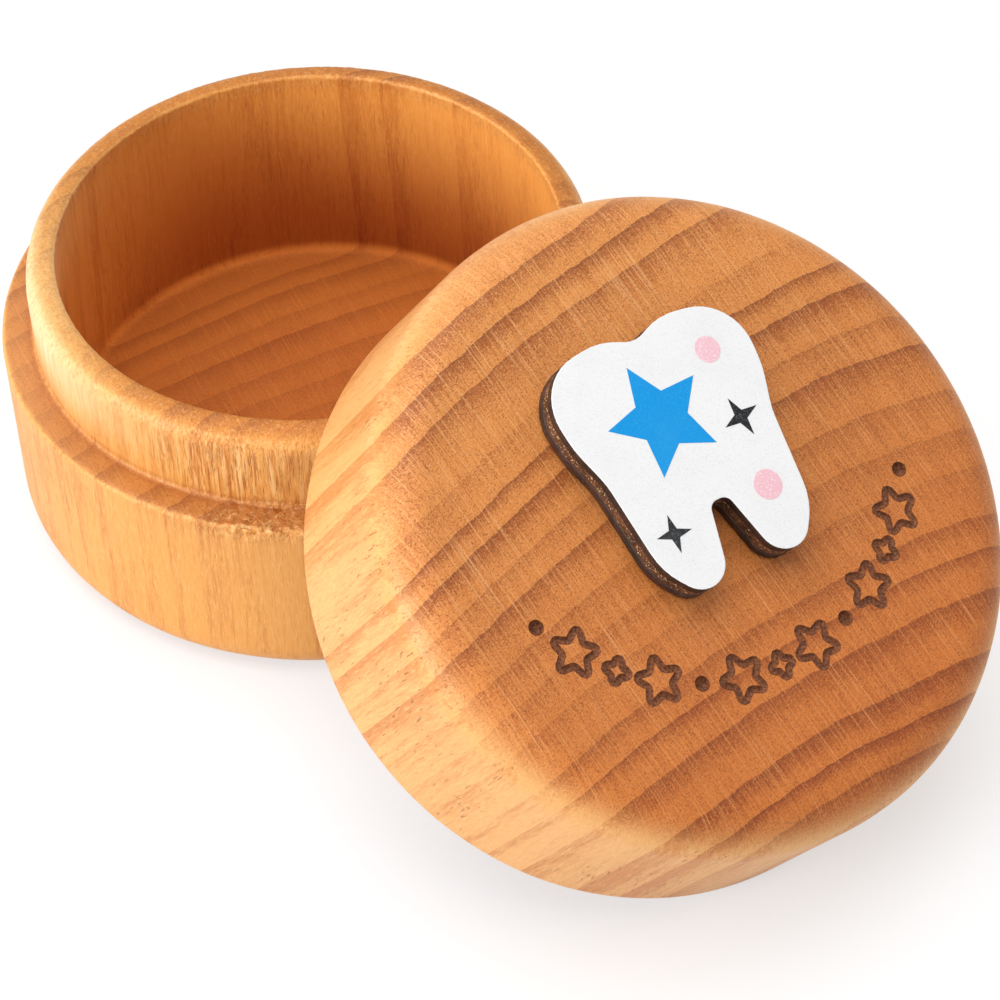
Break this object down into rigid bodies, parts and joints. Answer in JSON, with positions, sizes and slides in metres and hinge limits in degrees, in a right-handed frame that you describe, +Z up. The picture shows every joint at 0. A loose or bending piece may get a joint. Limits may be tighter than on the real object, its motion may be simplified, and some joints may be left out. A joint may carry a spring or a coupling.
{
  "type": "keepsake box",
  "caption": "Round turned wooden keepsake box for milk teeth, with a rim that a loose recessed lid slips over and a glued tooth-shaped plaque on the lid; shown open, lid leaning on the rim.",
  "frame": {"origin": "centre of the box's foot, on the table", "axes": "+Z up along the axis that the box was turned on, +X to the right and +Y away from the viewer; the lid leans on the rim at the front right"},
  "size_m": [0.0918, 0.0958, 0.0473],
  "materials": {
    "box_wood": "sanded and oiled beech, end grain on the floor, rim and foot",
    "lid_wood": "sanded and oiled beech, end grain on the top",
    "plywood": "three-ply board with a burnt cut edge",
    "white_print": "satin white printed ground",
    "glue": "dried wood glue"
  },
  "bodies": {
    "box": {"box_base": "box_wood"},
    "lid": {"box_lid": "lid_wood", "plaque_glue": "glue", "plaque_back_ply": "plywood", "plaque_core_ply": "plywood", "plaque_face_ply": "plywood", "plaque_print": "white_print"}
  },
  "joints": [
    {"name": "lid_lift", "type": "slide", "parent": "box", "child": "lid", "axis": [0, 0, 1], "range_m": [0, 0.045]}
  ]
}
